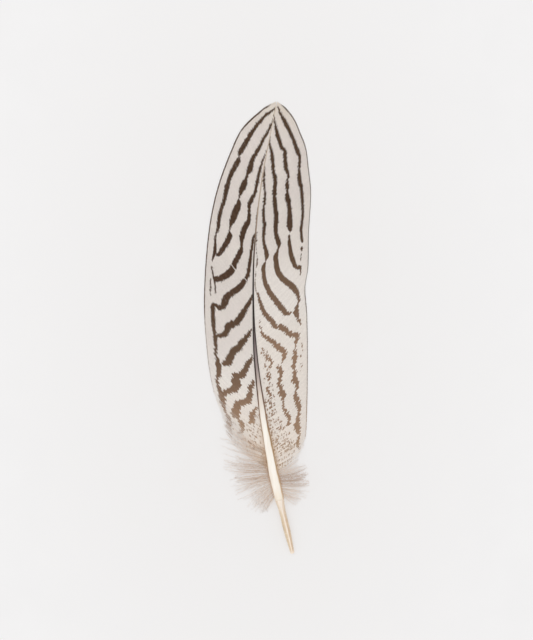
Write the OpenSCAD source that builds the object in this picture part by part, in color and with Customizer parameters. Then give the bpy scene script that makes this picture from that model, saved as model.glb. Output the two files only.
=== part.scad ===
// Quill: a whole striped flight feather, uncut, lying on its underside.
// +Y runs from the bare quill's end to the tip of the vane, +X is to the right as seen from
// above and +Z is up. The origin is on the resting surface, under the middle of the outline.

/* [Feather] */
// Length from the quill's end to the tip of the vane
feather_length = 180; // [140:1:220]
// Width across both vanes at the widest
vane_width = 42.8; // [36:0.2:50]
// Height that the middle of the shaft arches above its two ends
arch_height = 4.6; // [3:0.1:6.5]

/* [Vanes] */
// Thickness of a vane
vane_thick = 0.3; // [0.2:0.02:0.4]
// Gap between two neighbouring groups of barbs
split_gap = 0.05; // [0.03:0.01:0.15]
// How the vane droops from the shaft to its edge: 1 is straight, 2 is a parabola
droop_power = 1.6; // [1.2:0.1:2]
// Greatest thickness of the downy tufts
down_thick = 1.5; // [0.8:0.1:2]

/* [Shaft] */
// Height of the shaft's section as a share of its width
shaft_flatness = 0.86; // [0.75:0.01:1]
// Wall of the shaft's rind as a share of its half width
rind_share = 0.24; // [0.18:0.01:0.35]
// Depth of the groove under the shaft as a share of its half height
groove_share = 0.3; // [0:0.05:0.4]

/* [Bare quill] */
// Outer diameter of the bare quill's straight, round stretch
barrel_d = 2.8; // [2.6:0.1:3.2]
// Wall thickness of the bare quill
barrel_wall = 0.3; // [0.2:0.05:0.45]
// Outer diameter at the quill's blunt end
barrel_end_d = 1.6; // [1.4:0.1:2]
// Length of the tapering stretch at the quill's blunt end
taper_length = 9; // [6:0.5:11]
// Length of the stretch that widens into the shaft
flare_length = 5; // [3:0.5:6]
// Diameter of the opening in the quill's end
end_hole_d = 0.5; // [0.3:0.1:0.7]
// Number of dried pulp caps inside the bare quill
cap_count = 5; // [3:1:7]

/* [Hidden] */
$fn = 48;
groups = 10;
left_down_groups = 3;
right_down_groups = 2;

// The outlines below are drawn on a feather 180 long and 42.8 wide, then stretched.
ky = feather_length / 180;
kx = vane_width / 42.8;

// Middle line of the shaft and its half width, as [along, value]
shaft_line = [
    [-90, 14], [-68.5, 8.8], [-55, 5.8], [-45, 4.05], [-35, 2.25], [-13.7, -0.5],
    [8, -1.6], [31, -1.2], [58.6, 1.8], [88.3, 7.4]
];
shaft_half = [
    [-68.5, 1.75], [-66, 1.88], [-62, 2], [-53, 1.83], [-43, 1.65], [-33, 1.45], [-24, 1.17],
    [-16, 0.97], [-8, 0.8], [-1, 0.58], [4, 0.45], [10, 0.38], [20, 0.32], [58, 0.26], [88.3, 0.15]
];
// Edges of the two vanes, as [along, across]
left_edge = [
    [-44, -12.4], [-34, -14.8], [-28, -17], [-22, -18.4], [-12, -20], [10, -21.4], [37, -19.7],
    [55, -16.2], [72, -10], [80, -5.7], [87, 1.8], [89, 5], [90, 7.4]
];
right_edge = [
    [-50.5, 17.3], [-47, 18.7], [-40, 19.6], [-12, 20.1], [6, 19.8], [16, 19.1], [24, 20.3],
    [37, 20.5], [54, 21.4], [64, 20.4], [72, 19.3], [78, 17], [83, 14.8], [87.7, 11.2], [90, 7.8]
];
// Outer edges of the downy tufts, as [along, across], from the vane towards the bare quill
left_fan = [[-44.6, -12.8], [-52, -13.2], [-58.6, -11.9], [-65, -10], [-71.7, -6.4], [-75, -1], [-75, 3.4]];
right_fan = [[-51.3, 17.6], [-55, 19.2], [-60, 20.5], [-65, 20], [-69, 17], [-71, 13.4]];
// Where the first barb of each vane and the last downy barb leave the shaft
left_first = -56;
right_first = -57;
last_root = 88.3;
// The shaft begins a hair's breadth above the bare quill
shaft_start = -68.49;
left_down_last = -66.5;
right_down_last = -66;
// Exponent that sets how far towards the tip each barb reaches
reach_power = 1.48;
// Clear space between the vanes and the downy tufts
down_gap = 0.35;
// Steps across and along one group of barbs, and rings along the shaft
steps_across = 10;
steps_along = 5;
shaft_rings = 44;
ring_sides = 12;

barrel_r = barrel_d / 2;
bore_r = barrel_r - barrel_wall;
end_r = barrel_end_d / 2;
tip_rest = 0.25;
// The bare quill is straight, from its blunt end to where the shaft begins
quill_end = shaft_point(-90);
quill_top = shaft_point(-68.5);
quill_length = norm(quill_top - quill_end);
top_r = half_width(-68.5);
cap_pitch = (quill_length - taper_length - 3) / cap_count;
flare_start = quill_length - flare_length;
quill_turn = atan2(quill_end[0] - quill_top[0], quill_top[1] - quill_end[1]);
quill_tilt = asin((quill_top[2] - quill_end[2]) / quill_length);

// A smooth curve through a table of [position, value]
function span(table, v, i = 0) = i >= len(table) - 2 || v < table[i + 1][0] ? i : span(table, v, i + 1);
function rise(a, b) = (b[1] - a[1]) / (b[0] - a[0]);
function slope(table, i) = rise(table[max(i - 1, 0)], table[min(i + 1, len(table) - 1)]);
function smooth(table, v) =
    let (i = span(table, v), a = table[i], b = table[i + 1], h = b[0] - a[0], s = (v - a[0]) / h)
    a[1] * (1 + 2 * s) * (1 - s) * (1 - s) + b[1] * s * s * (3 - 2 * s)
    + h * s * (1 - s) * (slope(table, i) * (1 - s) - slope(table, i + 1) * s);

// The same, for a row of points that are evenly numbered from 0 to 1
function column(points, k) = [for (i = [0:len(points) - 1]) [i / (len(points) - 1), points[i][k]]];
function along_row(points, s) = [smooth(column(points, 1), s), smooth(column(points, 0), s)];

// Height of the shaft's middle line: it rests on both ends and arches between them
function shaft_z(y) = end_r + (tip_rest - end_r) * (y + 90) / 180 + arch_height * (1 - y * y / 8100);
function shaft_point(y) = [kx * smooth(shaft_line, y), ky * y, shaft_z(y)];
function unit(v) = v / norm(v);
function shaft_way(y) = y < -68 ? unit(quill_top - quill_end) : unit(shaft_point(y + 0.5) - shaft_point(y - 0.5));
function half_width(y) = smooth(shaft_half, y);

// One ring of the shaft's section, drawn in by inset, with the groove on its underside
function shaft_ring(y, inset) =
    let (
        way = shaft_way(y),
        across = unit(cross(way, [0, 0, 1])),
        up = cross(across, way),
        w = half_width(y) - inset,
        flat = y < -68 ? 1 : shaft_flatness,
        groove = y < -64 ? 0 : groove_share
    )
    [for (k = [0:ring_sides - 1])
        let (a = k * 360 / ring_sides, r = w * (a == 270 ? 1 - groove : 1))
        shaft_point(y) + across * r * cos(a) + up * r * flat * sin(a)];
function rind(y) = half_width(y) * rind_share + 0.03;
function shaft_place(i) = shaft_start + (last_root - shaft_start) * i / shaft_rings;

// A barb: it leaves the shaft's side at root, and bends towards the tip on its way to end.
// u is 0 at the shaft and 1 at the end.
function bend(root, end, u) =
    let (turn = [root[0] + 0.6 * (end[0] - root[0]), root[1] + 0.42 * (end[1] - root[1])])
    [for (k = [0:1]) (1 - u) * (1 - u) * root[k] + 2 * u * (1 - u) * turn[k] + u * u * end[k]];
function drop(high, low, u) = low + (high - low) * (1 - pow(u, droop_power));
function root_point(side, y) = shaft_point(y) + [side * (half_width(y) - rind(y) / 2), 0, 0.2 * half_width(y)];

// Middle of a vane at share t along the shaft and u along the barb
function vane_point(side, t, u) =
    let (
        first = side < 0 ? left_first : right_first,
        edge = side < 0 ? left_edge : right_edge,
        root = root_point(side, first + (last_root - first) * t),
        y = edge[0][0] + (90 - edge[0][0]) * (1 - pow(1 - t, reach_power)),
        xy = bend(root, [kx * smooth(edge, y), ky * y], u)
    )
    [xy[0], xy[1], drop(root[2], vane_thick / 2, u)];

// Middle of a downy tuft at share t along it and u along the barb
function down_point(side, t, u) =
    let (
        first = (side < 0 ? left_first : right_first) - down_gap,
        last = side < 0 ? left_down_last : right_down_last,
        root = root_point(side, first + (last - first) * t),
        end = along_row(side < 0 ? left_fan : right_fan, t),
        xy = bend(root, [kx * end[0], ky * end[1]], u)
    )
    [xy[0], xy[1], drop(root[2], down_half(1), u)];
function down_half(u) = down_thick / 2 * (0.35 + 0.65 * sin(180 * pow(u, 0.8)));

// A closed sheet through the grid of points, with half its thickness at each point above it
module sheet(grid, half) {
    rows = len(grid);
    cols = len(grid[0]);
    count = rows * cols;
    function at(i, j, low) = low * count + i * cols + j;
    points = [for (s = [1, -1]) for (i = [0:rows - 1]) for (j = [0:cols - 1]) grid[i][j] + [0, 0, s * half[j]]];
    tops = [for (i = [0:rows - 2]) for (j = [0:cols - 2]) each [
        [at(i, j, 0), at(i + 1, j, 0), at(i + 1, j + 1, 0)],
        [at(i, j, 0), at(i + 1, j + 1, 0), at(i, j + 1, 0)]
    ]];
    bottoms = [for (f = tops) [f[2] + count, f[1] + count, f[0] + count]];
    border = concat(
        [for (j = [0:cols - 1]) at(0, j, 0)],
        [for (i = [1:rows - 1]) at(i, cols - 1, 0)],
        [for (j = [cols - 2:-1:0]) at(rows - 1, j, 0)],
        [for (i = [rows - 2:-1:1]) at(i, 0, 0)]
    );
    last = len(border) - 1;
    sides = [for (k = [0:last]) let (a = border[k], b = border[k == last ? 0 : k + 1]) each [
        [a, b, b + count],
        [a, b + count, a + count]
    ]];
    polyhedron(points, concat(tops, bottoms, sides));
}

// Rows of a group run from the vane's base to its tip on one side and back on the other,
// so that both sides face outwards
function row_share(side, i) = side < 0 ? i / steps_along : 1 - i / steps_along;

module barb_group(side, n) {
    trim = split_gap / feather_length;
    low = (n - 1) / groups + (n == 1 ? 0 : trim / 2);
    high = n / groups - (n == groups ? 0 : trim / 2);
    grid = [for (i = [0:steps_along]) [for (j = [0:steps_across])
        vane_point(side, low + (high - low) * row_share(-side, i), j / steps_across)]];
    color([0.9, 0.88, 0.86]) sheet(grid, [for (j = [0:steps_across]) vane_thick / 2]);
}

module down_group(side, n, total) {
    trim = split_gap / 8;
    low = (n - 1) / total + (n == 1 ? 0 : trim);
    high = n / total - (n == total ? 0 : trim);
    grid = [for (i = [0:steps_along]) [for (j = [0:steps_across])
        down_point(side, low + (high - low) * row_share(side, i), j / steps_across)]];
    color([0.8, 0.75, 0.7]) sheet(grid, [for (j = [0:steps_across]) down_half(j / steps_across)]);
}

// A closed tube between rings of points, open right through when inner rings are given
module swept(outer, inner) {
    rings = len(outer);
    sides = len(outer[0]);
    count = rings * sides;
    function at(i, k) = i * sides + (k % sides);
    points = concat([for (r = outer) each r], [for (r = inner) each r]);
    function wall(shift, flip) = [for (i = [0:rings - 2]) for (k = [0:sides - 1])
        let (a = at(i, k) + shift, b = at(i, k + 1) + shift, c = at(i + 1, k + 1) + shift, d = at(i + 1, k) + shift)
        each (flip ? [[a, c, b], [a, d, c]] : [[a, b, c], [a, c, d]])];
    hollow_ends = [for (k = [0:sides - 1]) let (e = at(rings - 1, k), f = at(rings - 1, k + 1)) each [
        [at(0, k), at(0, k + 1), at(0, k + 1) + count],
        [at(0, k), at(0, k + 1) + count, at(0, k) + count],
        [e, e + count, f + count],
        [e, f + count, f]
    ]];
    solid_ends = [for (k = [1:sides - 2]) each [
        [at(0, 0), at(0, k), at(0, k + 1)],
        [at(rings - 1, 0), at(rings - 1, k + 1), at(rings - 1, k)]
    ]];
    if (len(inner) > 0) polyhedron(points, concat(wall(0, true), wall(count, false), hollow_ends));
    else polyhedron(points, concat(wall(0, true), solid_ends));
}

// Inner radius of the bare quill beyond its tapering stretch, z being the distance from its blunt end
function bore_at(z) = bore_r + (top_r - barrel_r) * max(z - flare_start, 0) / flare_length;

// Puts its children in the bare quill's own frame: Z runs from the blunt end to the shaft
module on_quill() {
    translate(quill_end) rotate([0, 0, quill_turn]) rotate([quill_tilt - 90, 0, 0]) children();
}

// The bare quill: a hollow barrel that tapers to a blunt end with a small opening in it
module calamus() {
    color([0.86, 0.74, 0.52]) on_quill() rotate_extrude() polygon([
        [end_hole_d / 2, 0], [end_r - 0.25, 0], [end_r - 0.07, 0.08], [end_r, 0.28],
        [barrel_r, taper_length], [barrel_r, flare_start], [top_r, quill_length],
        [bore_at(quill_length), quill_length], [bore_r, flare_start],
        [bore_r, taper_length + 0.5], [end_hole_d / 2, 1.2]
    ]);
}

// The dried pulp left inside the barrel: a row of thin cups, each open towards the shaft
module pulp_caps() {
    color([0.93, 0.88, 0.78]) on_quill() for (i = [0:cap_count - 1]) {
        start = taper_length + 1 + i * cap_pitch;
        cup_r = bore_at(start) - 0.03;
        translate([0, 0, start]) rotate_extrude() polygon([
            [0, 0], [0.4 * cup_r, 0.08], [0.8 * cup_r, 0.4], [cup_r, 0.9], [cup_r, 1.3],
            [cup_r - 0.08, 1.3], [cup_r - 0.1, 1], [0.7 * cup_r, 0.5], [0.35 * cup_r, 0.2], [0, 0.14]
        ]);
    }
}

// The plug of dry skin that closes the barrel where the shaft begins
module superior_umbilicus() {
    start = quill_length - 1.4;
    color([0.88, 0.8, 0.64]) on_quill() translate([0, 0, start]) rotate_extrude() polygon([
        [0, 0], [bore_at(start + 0.5) - 0.03, 0.5], [bore_at(start + 1.35) - 0.03, 1.35], [0, 1.35]
    ]);
}

// The horny rind of the shaft, hollow for its pith and grooved underneath
module rachis_rind() {
    outer = [for (i = [0:shaft_rings]) shaft_ring(shaft_place(i), 0)];
    inner = [for (i = [0:shaft_rings]) shaft_ring(shaft_place(i), rind(shaft_place(i)))];
    color([0.9, 0.84, 0.74]) swept(outer, inner);
}

// The foamy pith that fills the shaft's rind
module rachis_pith() {
    core = [for (i = [0:shaft_rings]) shaft_ring(shaft_place(i), rind(shaft_place(i)) + 0.02)];
    color([0.97, 0.95, 0.9]) swept(core, []);
}

calamus();
pulp_caps();
superior_umbilicus();
rachis_rind();
rachis_pith();
for (i = [1:groups]) {
    barb_group(-1, i);
    barb_group(1, i);
}
for (i = [1:left_down_groups]) {
    down_group(-1, i, left_down_groups);
}
for (i = [1:right_down_groups]) {
    down_group(1, i, right_down_groups);
}
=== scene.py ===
"""A whole barred flight feather, uncut, built strand by strand round its CAD frame.

Shapes are worked out in millimetres in the frame's own axes and turned into metres when a mesh
is made: +Y runs from the bare quill's end to the tip of the vane, +Z is up.
"""

import math

import bmesh
import bpy
import numpy as np
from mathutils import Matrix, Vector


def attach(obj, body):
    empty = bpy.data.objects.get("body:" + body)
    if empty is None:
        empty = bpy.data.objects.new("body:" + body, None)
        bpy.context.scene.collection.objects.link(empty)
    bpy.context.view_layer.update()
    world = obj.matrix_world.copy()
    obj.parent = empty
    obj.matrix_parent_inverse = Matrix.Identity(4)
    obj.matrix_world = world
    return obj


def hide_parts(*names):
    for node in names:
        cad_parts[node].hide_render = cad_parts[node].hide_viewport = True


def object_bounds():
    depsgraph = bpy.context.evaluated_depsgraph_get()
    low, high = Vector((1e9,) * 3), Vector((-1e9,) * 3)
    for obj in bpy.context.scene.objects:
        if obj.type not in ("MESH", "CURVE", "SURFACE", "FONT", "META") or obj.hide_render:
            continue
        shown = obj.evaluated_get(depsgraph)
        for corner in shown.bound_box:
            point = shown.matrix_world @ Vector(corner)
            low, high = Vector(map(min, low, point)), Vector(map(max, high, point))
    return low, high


MM = 0.001
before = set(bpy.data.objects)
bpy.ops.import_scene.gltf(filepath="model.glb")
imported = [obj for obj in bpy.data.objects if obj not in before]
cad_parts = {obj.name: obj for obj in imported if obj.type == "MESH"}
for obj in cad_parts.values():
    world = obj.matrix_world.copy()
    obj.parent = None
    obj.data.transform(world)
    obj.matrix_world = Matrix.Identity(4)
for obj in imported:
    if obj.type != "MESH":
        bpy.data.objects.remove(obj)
cad_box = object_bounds()
random = np.random.default_rng(20)

# ---------------------------------------------------------------- the feather's outlines
# They are drawn in millimetres on a feather of this size, then stretched to the frame's own box.
DRAWN_LONG = 180
DRAWN_WIDE = 42.8
DRAWN_TIP = 90
feather_length = (cad_box[1].y - cad_box[0].y) / MM
STRETCH_Y = feather_length / DRAWN_LONG
STRETCH_X = (cad_box[1].x - cad_box[0].x) / MM / DRAWN_WIDE

# Middle line of the shaft, then its half width: (along, value)
SHAFT_LINE = [
    (-90, 14), (-68.5, 8.8), (-55, 5.8), (-45, 4.05), (-35, 2.25), (-13.7, -0.5),
    (8, -1.6), (31, -1.2), (58.6, 1.8), (88.3, 7.4),
]
SHAFT_HALF = [
    (-68.5, 1.75), (-66, 1.88), (-62, 2), (-53, 1.83), (-43, 1.65), (-33, 1.45), (-24, 1.17),
    (-16, 0.97), (-8, 0.8), (-1, 0.58), (4, 0.45), (10, 0.38), (20, 0.32), (58, 0.26), (88.3, 0.15),
]
# Edges of the vanes: (along, across)
LEFT_EDGE = [
    (-44, -12.4), (-34, -14.8), (-28, -17), (-22, -18.4), (-12, -20), (10, -21.4), (37, -19.7),
    (55, -16.2), (72, -10), (80, -5.7), (87, 1.8), (89, 5), (90, 7.4),
]
RIGHT_EDGE = [
    (-50.5, 17.3), (-47, 18.7), (-40, 19.6), (-12, 20.1), (6, 19.8), (16, 19.1), (24, 20.3),
    (37, 20.5), (54, 21.4), (64, 20.4), (72, 19.3), (78, 17), (83, 14.8), (87.7, 11.2), (90, 7.8),
]
# Outer edges of the downy tufts, from the vane towards the bare quill
LEFT_FAN = [
    (-37, -13), (-43, -13.4), (-50, -13.6), (-56, -13), (-62, -11), (-69, -7.4), (-73.5, -2), (-74.5, 3),
]
RIGHT_FAN = [(-51, 17.4), (-56.5, 19.4), (-60.5, 20.6), (-64.5, 20.6), (-68.5, 18.6), (-71, 14.6)]

# How high the shaft arches, and the heights at which its blunt end and its tip rest
ARCH = 4.6
END_R = 0.8
TIP_REST = 0.25
VANE_THICK = 0.3
# How the barbs sink from the shaft to the floor, and how their ends crowd towards the tip
DROOP_POWER = 1.6
REACH_POWER = 1.48
# Where the shaft begins, and where the barbs and the downy barbs leave it; -1 is the left side
SHAFT_START = -68.5
LAST_ROOT = 88.3
FIRST_ROOT = {-1: -56, 1: -57}
FIRST_DOWN = {-1: -48, 1: -57}
LAST_DOWN = {-1: -67.3, 1: -67}
EDGE = {-1: LEFT_EDGE, 1: RIGHT_EDGE}
FAN = {-1: LEFT_FAN, 1: RIGHT_FAN}
SIDE_NAME = {-1: "left", 1: "right"}
GROUPS = 10
DOWN_GROUPS = {-1: 3, 1: 2}

# ---------------------------------------------------------------- the stripes
# Each stripe is a brush stroke: (across, along, half width) from its tip end downwards. Most of
# these points were read by eye, in pixels, off enlargements of the photo, and a scratch script
# turned them into millimetres. So this table is data taken from the photo, not a design by rule.
STRIPES = {
    -1: [
        [(8, 87.7, 0.2), (5.2, 85.8, 0.35), (2.5, 83.6, 0.5), (-2, 77.9, 0.74), (-5.8, 71.6, 0.98),
         (-7, 69.5, 0.8), (-7.3, 68, 0.12), (-7.9, 66.1, 0.95), (-10.9, 60, 0.8), (-12.1, 56.2, 0.87),
         (-13, 51.3, 0.65), (-15.1, 44.4, 0.7), (-15.7, 39.5, 0.6), (-16.7, 36, 0.25),
         (-17, 30.6, 0.53), (-18, 26.5, 0.19)],
        [(-18.3, 24, 0.15), (-17.8, 21.5, 0.23), (-17.2, 18.9, 0.27), (-16.6, 13.9, 0.2)],
        [(-18.7, 19.4, 0.17), (-18.7, 12.8, 0.15)],
        [(6.6, 84.7, 0.09), (6.1, 81.7, 0.3), (2.9, 75.6, 0.5), (0.3, 70.6, 0.68), (-2, 66.8, 0.76),
         (-3, 63, 1.1), (-4.3, 60, 0.42), (-5.6, 56.2, 1.22), (-7.3, 51.5, 0.22), (-7.6, 49, 1.04),
         (-9.6, 43.3, 1.18), (-11.1, 38.7, 0.15), (-11.1, 36.1, 1.04), (-13.8, 31, 0.87),
         (-15.7, 28.9, 0.57), (-16.4, 29.4, 0.19)],
        [(3.5, 69.9, 0.11), (1.4, 64.2, 0.38), (0.1, 58.9, 0.57), (-0.9, 53.9, 0.53), (-2.8, 49.8, 0.8),
         (-3.3, 47.1, 0.46), (-3.5, 42.9, 0.8), (-5.8, 37.2, 0.99), (-6.3, 32, 0.42), (-6.8, 29.9, 0.91),
         (-8.9, 25.7, 0.99), (-10, 23, 1.18), (-13.4, 20, 1.18), (-16.3, 19.2, 0.85), (-17, 20, 0.3)],
        [(0.2, 47.5, 0.13), (-0.9, 37.2, 0.21), (-1.6, 35.6, 0.34), (-2.4, 29.9, 0.42), (-3.2, 24.6, 0.57),
         (-4.3, 19.6, 0.65), (-7.7, 15.4, 1.04), (-12.3, 12, 1.1), (-13, 9.7, 1.18), (-14.6, 7.5, 0.65),
         (-17.2, 9.3, 0.42), (-17.7, 7.5, 0.72), (-17.7, 4.1, 0.61), (-17.2, -1.3, 0.53),
         (-16.7, -4.7, 0.61), (-16.4, -10.4, 0.38), (-15.4, -16.1, 0.99), (-16, -21.2, 0.34),
         (-14.1, -28, 0.96), (-13, -32.8, 0.4), (-11.4, -37.4, 0.8), (-11.5, -40, 1.15), (-11.3, -43, 1.0),
         (-11, -45, 0.5)],
        [(-2.1, 12.8, 0.19), (-3.5, 9.4, 0.61), (-6.6, 4.4, 0.99), (-8.5, 1.8, 1.1), (-11.1, 0.6, 1.25),
         (-12.3, -1.6, 1.04), (-13.8, -3.2, 0.76), (-16.6, -3.6, 0.42)],
        [(-2.6, -0.9, 0.3), (-3.9, -3.5, 0.68), (-7, -7.3, 1.14), (-9.6, -10, 1.25), (-11.7, -13.8, 1.33),
         (-12.7, -14.8, 0.76)],
        [(-2, -11.3, 0.27), (-3.5, -14.4, 0.76), (-5.8, -18.4, 1.14), (-8.5, -20.3, 1.56),
         (-8.2, -22.7, 1.59), (-10.4, -24.6, 1.2), (-14, -27.3, 0.72)],
        [(-1.7, -21.3, 0.38), (-2.6, -25.1, 0.87), (-3.6, -28.2, 1.11), (-7.5, -30.9, 1.35),
         (-8.7, -33.8, 1.54), (-8, -35.6, 0.72)],
        [(-1, -31.6, 0.29), (-1.8, -35, 0.82), (-2.6, -37.4, 0.72)],
        [(-6.8, -37.4, 0.72), (-5.8, -39.5, 0.63), (-6.8, -41.9, 0.34)],
    ],
    1: [
        [(8.2, 87.7, 0.19), (9.9, 83.6, 0.57), (11.8, 80, 0.76), (14.5, 74.4, 0.61), (16, 69.5, 0.76),
         (16.9, 67.2, 0.49), (16.6, 62.7, 0.46), (16.8, 58.5, 0.8), (17.7, 53.6, 0.57), (17.9, 44.8, 0.46),
         (17.4, 39.1, 0.49), (17.8, 35.3, 0.49), (18, 34, 0.2)],
        [(17.7, 31.8, 0.34), (17.7, 30.8, 0.34)],
        [(17.6, 29.5, 0.08), (17.2, 26.3, 0.09)],
        [(6.6, 84.1, 0.09), (7.5, 78.2, 0.57), (8.8, 73.9, 0.76), (9.6, 71.6, 0.65), (10.9, 69.9, 0.65),
         (11.1, 64.2, 0.68), (11.4, 62.5, 0.72), (12.4, 60.6, 0.42), (12, 58.5, 0.23), (11.8, 56.6, 0.8),
         (11.9, 54.1, 0.3), (12, 51.5, 0.95), (12.8, 46.7, 0.72), (12.7, 40.3, 1.1), (12.9, 37.9, 0.2)],
        [(12.6, 36.1, 0.38), (12.6, 34.4, 0.53), (13.4, 29.5, 0.8), (14.7, 25.3, 0.8), (15.9, 23.6, 0.53),
         (17, 24.2, 0.46), (17.1, 21.1, 0.15)],
        [(5, 76.7, 0.08), (4.7, 73.3, 0.28), (5.8, 68.7, 0.61), (6.3, 62.7, 0.57), (7, 57.4, 0.72),
         (6.8, 51.3, 0.72), (7.5, 43.7, 0.84), (7.2, 38, 0.72), (8.2, 33.4, 0.9), (8.3, 31.4, 0.3),
         (7.3, 27.6, 0.87), (8.6, 21.5, 0.99), (11.7, 17.9, 1.14), (14.3, 15.8, 1.14), (16.4, 12, 0.53),
         (16.2, 9.4, 0.23), (15.4, 6, 0.84), (16.4, 2.9, 0.42), (17.6, 1.2, 0.19)],
        [(2.8, 63.8, 0.15), (2.6, 58.1, 0.38), (2.6, 55.1, 0.25), (3.1, 52, 0.38), (2.4, 46, 0.42),
         (2.8, 40.3, 0.61), (2.4, 34.6, 0.45), (3.5, 28.7, 0.76), (3.2, 26.3, 0.25), (2.4, 23.4, 0.68),
         (3.1, 18.5, 0.72), (5.2, 13.5, 0.95), (8.2, 9.4, 1.04), (11.1, 5.9, 0.91), (13.3, 5.9, 0.19)],
        [(0.1, 13.9, 0.23), (1.4, 9.4, 0.57), (2.4, 6.3, 0.76), (5.2, 2.9, 0.88), (7.1, 0.6, 0.82),
         (8.3, 0.1, 0.42), (9.6, 0.1, 0.98), (13.2, -2.8, 0.86), (15.5, -3.4, 0.94), (15.1, -6.2, 0.38),
         (14.9, -8.9, 0.3), (14.7, -13.4, 0.95), (14.8, -16.8, 0.25), (14.9, -20.1, 1.06),
         (15.8, -23.2, 0.58), (15.2, -25.6, 0.25), (15.5, -27.5, 0.87), (16.6, -32.8, 0.67),
         (16.4, -35.7, 0.3), (15.8, -38.6, 1.06), (16.4, -43.4, 0.38), (16.3, -46.3, 0.58),
         (16.6, -48.9, 0.19)],
        [(1.4, -1.3, 0.2), (2.2, -2.8, 0.49), (5.6, -5.4, 0.72), (9.4, -8.9, 1.06), (10.6, -11.1, 0.72),
         (9.6, -13.6, 0.3)],
        [(8.3, -15.5, 0.46), (9.1, -18.2, 0.84), (9.4, -20.8, 0.48), (8.6, -22.7, 0.48), (10.1, -26.1, 1.11),
         (10.1, -29.4, 0.29), (11, -32.8, 0.53), (12.6, -36.4, 0.63), (12.4, -38.8, 0.38)],
        [(1.9, -8.3, 0.1), (2.5, -9.6, 0.2), (3.2, -11, -0.05), (4.1, -12.3, 0.45), (5.4, -13.8, 0.4),
         (4.9, -15.4, 0.3), (4.5, -17, -0.1), (4.3, -19.5, 0.45), (4.4, -22, 0.1), (4.6, -25.1, 0.42),
         (5.1, -29.9, 0.1), (6.2, -35.2, 0.1)],
        [(-0.1, 37.6, 0.02), (-0.4, 33.8, 0.08), (-0.5, 31.8, -0.05), (-0.3, 27.6, 0.05), (-0.3, 25.3, 0.18),
         (-0.6, 22.5, -0.05), (-0.7, 20.8, 0.04), (-0.7, 16.2, 0.1), (-0.1, 13.9, 0.02)],
        [(17.6, -7, 0.1), (17.7, -8.6, -0.2), (17.6, -10.6, 0.05), (17.6, -12.6, -0.2), (17.3, -16.6, 0.1)],
        [(1.1, 2.8, 0.05), (0.8, 1.5, 0.12), (0.6, 0.7, -0.1), (1.0, 0.2, 0.15), (1.5, -0.6, 0.2),
         (1.5, -1.6, -0.05)],
    ],
}

# Barbs that stay pale right through, as a point that each one passes
SLITS = {-1: [(-9.4, 23.6), (-10.1, 24.6), (-4.7, 19.05)], 1: []}
# How much wider than its brush stroke a stripe comes out, everywhere and on the lower vanes
STRIPE_SPREAD = 0.09
LOWER_SPREAD = {-1: 0.16, 1: 0.08}
# The vanes' dark rims: their width, and where on the edge they have faded out
MARGIN_WIDE = {-1: 0.94, 1: 0.72}
MARGIN_END = {-1: -36, 1: -54}
# How much of the rim's darkness is left on the lower half of the feather
LOWER_MARGIN = {-1: 0.55, 1: 0.95}
# Share of each vane, from its base, where barbs come loose from one another
LOOSE = {-1: 0.11, 1: 0.035}
# Where the barbs' ends grow thin and let light through, along the shaft: (begins, full)
LOOSE_ENDS = {-1: (-8, -30), 1: (-34, -44)}
# How much paler the right vane's brown comes out, as a shift along the shaft: (along, shift)
RIGHT_FADE = [
    (-50, -0.03), (-34, -0.01), (-24, 0.03), (-10, 0.12), (8, 0.16), (25, 0.19), (45, 0.08), (62, 0), (90, 0),
]


# ---------------------------------------------------------------- curves
def smooth(table, v):
    """Smooth curve through a table of (position, value), read at v."""
    x, y = np.array(table, float).T
    rise = np.empty_like(y)
    rise[1:-1] = (y[2:] - y[:-2]) / (x[2:] - x[:-2])
    rise[0] = (y[1] - y[0]) / (x[1] - x[0])
    rise[-1] = (y[-1] - y[-2]) / (x[-1] - x[-2])
    v = np.clip(np.asarray(v, float), x[0], x[-1])
    i = np.clip(np.searchsorted(x, v, side="right") - 1, 0, len(x) - 2)
    h = x[i + 1] - x[i]
    s = (v - x[i]) / h
    ends = y[i] * (1 + 2 * s) * (1 - s) ** 2 + y[i + 1] * s * s * (3 - 2 * s)
    return ends + h * s * (1 - s) * (rise[i] * (1 - s) - rise[i + 1] * s)


def along_row(points, s):
    """Point at share s of a row of (along, across) points, as (across, along)."""
    places = np.linspace(0, 1, len(points))
    along, across = np.array(points, float).T
    return smooth(list(zip(places, across)), s), smooth(list(zip(places, along)), s)


def shaft_z(y):
    """Height of the shaft's middle, which rests on both ends and arches between them."""
    level = END_R + (TIP_REST - END_R) * (y + DRAWN_TIP) / DRAWN_LONG
    return level + ARCH * (1 - y * y / DRAWN_TIP ** 2)


def share_along(y):
    """Share of the feather's length at y, from the bare quill's end to the tip."""
    return (y + DRAWN_TIP) / DRAWN_LONG


def shaft_point(y):
    """Middle of the shaft at place y of the drawing."""
    y = np.asarray(y, float)
    return np.stack([STRETCH_X * smooth(SHAFT_LINE, y), STRETCH_Y * y, shaft_z(y)], -1)


def half_width(y):
    return smooth(SHAFT_HALF, y)


def root_point(side, y):
    """Where a barb leaves the shaft's side."""
    half = half_width(y)
    point = shaft_point(y)
    point[..., 0] += side * (0.88 * half - 0.015)
    point[..., 2] += 0.2 * half
    return point


def bend(root, end, u):
    """A barb seen from above: it leaves the shaft widely and turns towards the tip."""
    turn = root + (end - root) * np.array([0.6, 0.42])
    u = u[..., None]
    return (1 - u) ** 2 * root + 2 * u * (1 - u) * turn + u * u * end


def drop(high, low, u):
    return low + (high - low) * (1 - np.abs(u) ** DROOP_POWER)


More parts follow.
